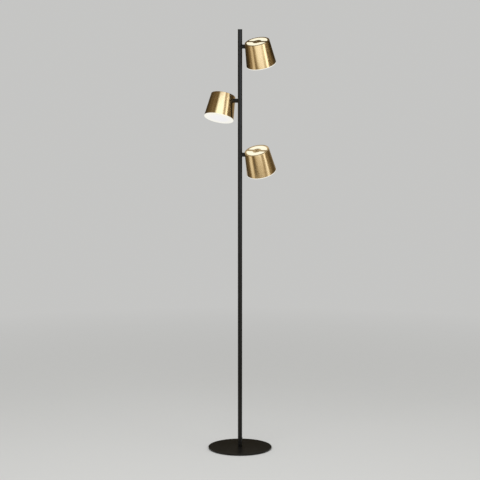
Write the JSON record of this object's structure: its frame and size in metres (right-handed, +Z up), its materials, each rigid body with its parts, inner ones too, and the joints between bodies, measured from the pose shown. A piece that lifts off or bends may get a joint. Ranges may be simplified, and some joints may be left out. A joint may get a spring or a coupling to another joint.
{
  "type": "floor lamp",
  "caption": "Free-standing floor lamp: slim black pole on a flat round foot, with brushed brass conical spot heads that swivel on short arms and shine up and down.",
  "frame": {"origin": "centre of the footprint, on the floor", "axes": "+Z up along the pole; X along the arms, with the upper and lower arms towards +X; the cable inlet faces +Y"},
  "size_m": [0.255, 0.235, 1.545],
  "materials": {
    "black_paint": "satin black powder coat",
    "brushed_brass": "brushed round the axis, clear lacquer",
    "brass_screw": "satin",
    "opal_top": "opal, lit from inside",
    "opal_bottom": "opal, lit from inside",
    "pad_foam": "matt cellular foam",
    "black_rubber": "matt moulded",
    "black_nylon": "matt",
    "zinc_steel": "zinc plated",
    "cast_aluminium": "as cast, blasted",
    "board_white": "white solder mask",
    "reflector_white": "gloss white moulding",
    "cream_plastic": "moulded",
    "lead_jacket": "smooth silicone jacket"
  },
  "bodies": {
    "stand": {"foot_pad": "pad_foam", "foot_plate": "black_paint", "foot_bolt": "zinc_steel", "foot_insert": "zinc_steel", "pole_lower": "black_paint", "pole_middle": "black_paint", "pole_upper": "black_paint", "lower_joiner": "zinc_steel", "upper_joiner": "zinc_steel", "pole_cap": "black_paint", "cable_bush": "black_rubber", "splice_connector": "cream_plastic", "pole_lead_upper": "lead_jacket", "pole_lead_middle": "lead_jacket", "pole_lead_lower": "lead_jacket", "arm_upper": "black_paint", "arm_middle": "black_paint", "arm_lower": "black_paint", "arm_anchors": "zinc_steel", "swivel_tubes": "zinc_steel", "friction_washers": "black_nylon", "spring_washers": "zinc_steel", "swivel_nuts": "zinc_steel"},
    "head_upper": {"shade_upper": "brushed_brass", "swivel_collar_upper": "black_paint", "carrier_upper": "cast_aluminium", "down_board_upper": "board_white", "up_board_upper": "board_white", "reflector_upper": "reflector_white", "top_diffuser_upper": "opal_top", "bottom_diffuser_upper": "opal_bottom", "terminal_block_upper": "cream_plastic", "head_wires_upper": "lead_jacket", "board_screws_upper": "zinc_steel", "hub_screw_upper": "brass_screw"},
    "head_middle": {"shade_middle": "brushed_brass", "swivel_collar_middle": "black_paint", "carrier_middle": "cast_aluminium", "down_board_middle": "board_white", "up_board_middle": "board_white", "reflector_middle": "reflector_white", "top_diffuser_middle": "opal_top", "bottom_diffuser_middle": "opal_bottom", "terminal_block_middle": "cream_plastic", "head_wires_middle": "lead_jacket", "board_screws_middle": "zinc_steel", "hub_screw_middle": "brass_screw"},
    "head_lower": {"shade_lower": "brushed_brass", "swivel_collar_lower": "black_paint", "carrier_lower": "cast_aluminium", "down_board_lower": "board_white", "up_board_lower": "board_white", "reflector_lower": "reflector_white", "top_diffuser_lower": "opal_top", "bottom_diffuser_lower": "opal_bottom", "terminal_block_lower": "cream_plastic", "head_wires_lower": "lead_jacket", "board_screws_lower": "zinc_steel", "hub_screw_lower": "brass_screw"}
  },
  "joints": [
    {"name": "swivel_upper", "type": "hinge", "parent": "stand", "child": "head_upper", "pos_m": [0.0135, 0, 1.483], "axis": [1, 0, 0], "range_deg": [-182, 138]},
    {"name": "swivel_middle", "type": "hinge", "parent": "stand", "child": "head_middle", "pos_m": [-0.0135, 0, 1.288], "axis": [-1, 0, 0], "range_deg": [-182.5, 137.5]},
    {"name": "swivel_lower", "type": "hinge", "parent": "stand", "child": "head_lower", "pos_m": [0.0135, 0, 1.093], "axis": [1, 0, 0], "range_deg": [-184.5, 135.5]}
  ]
}
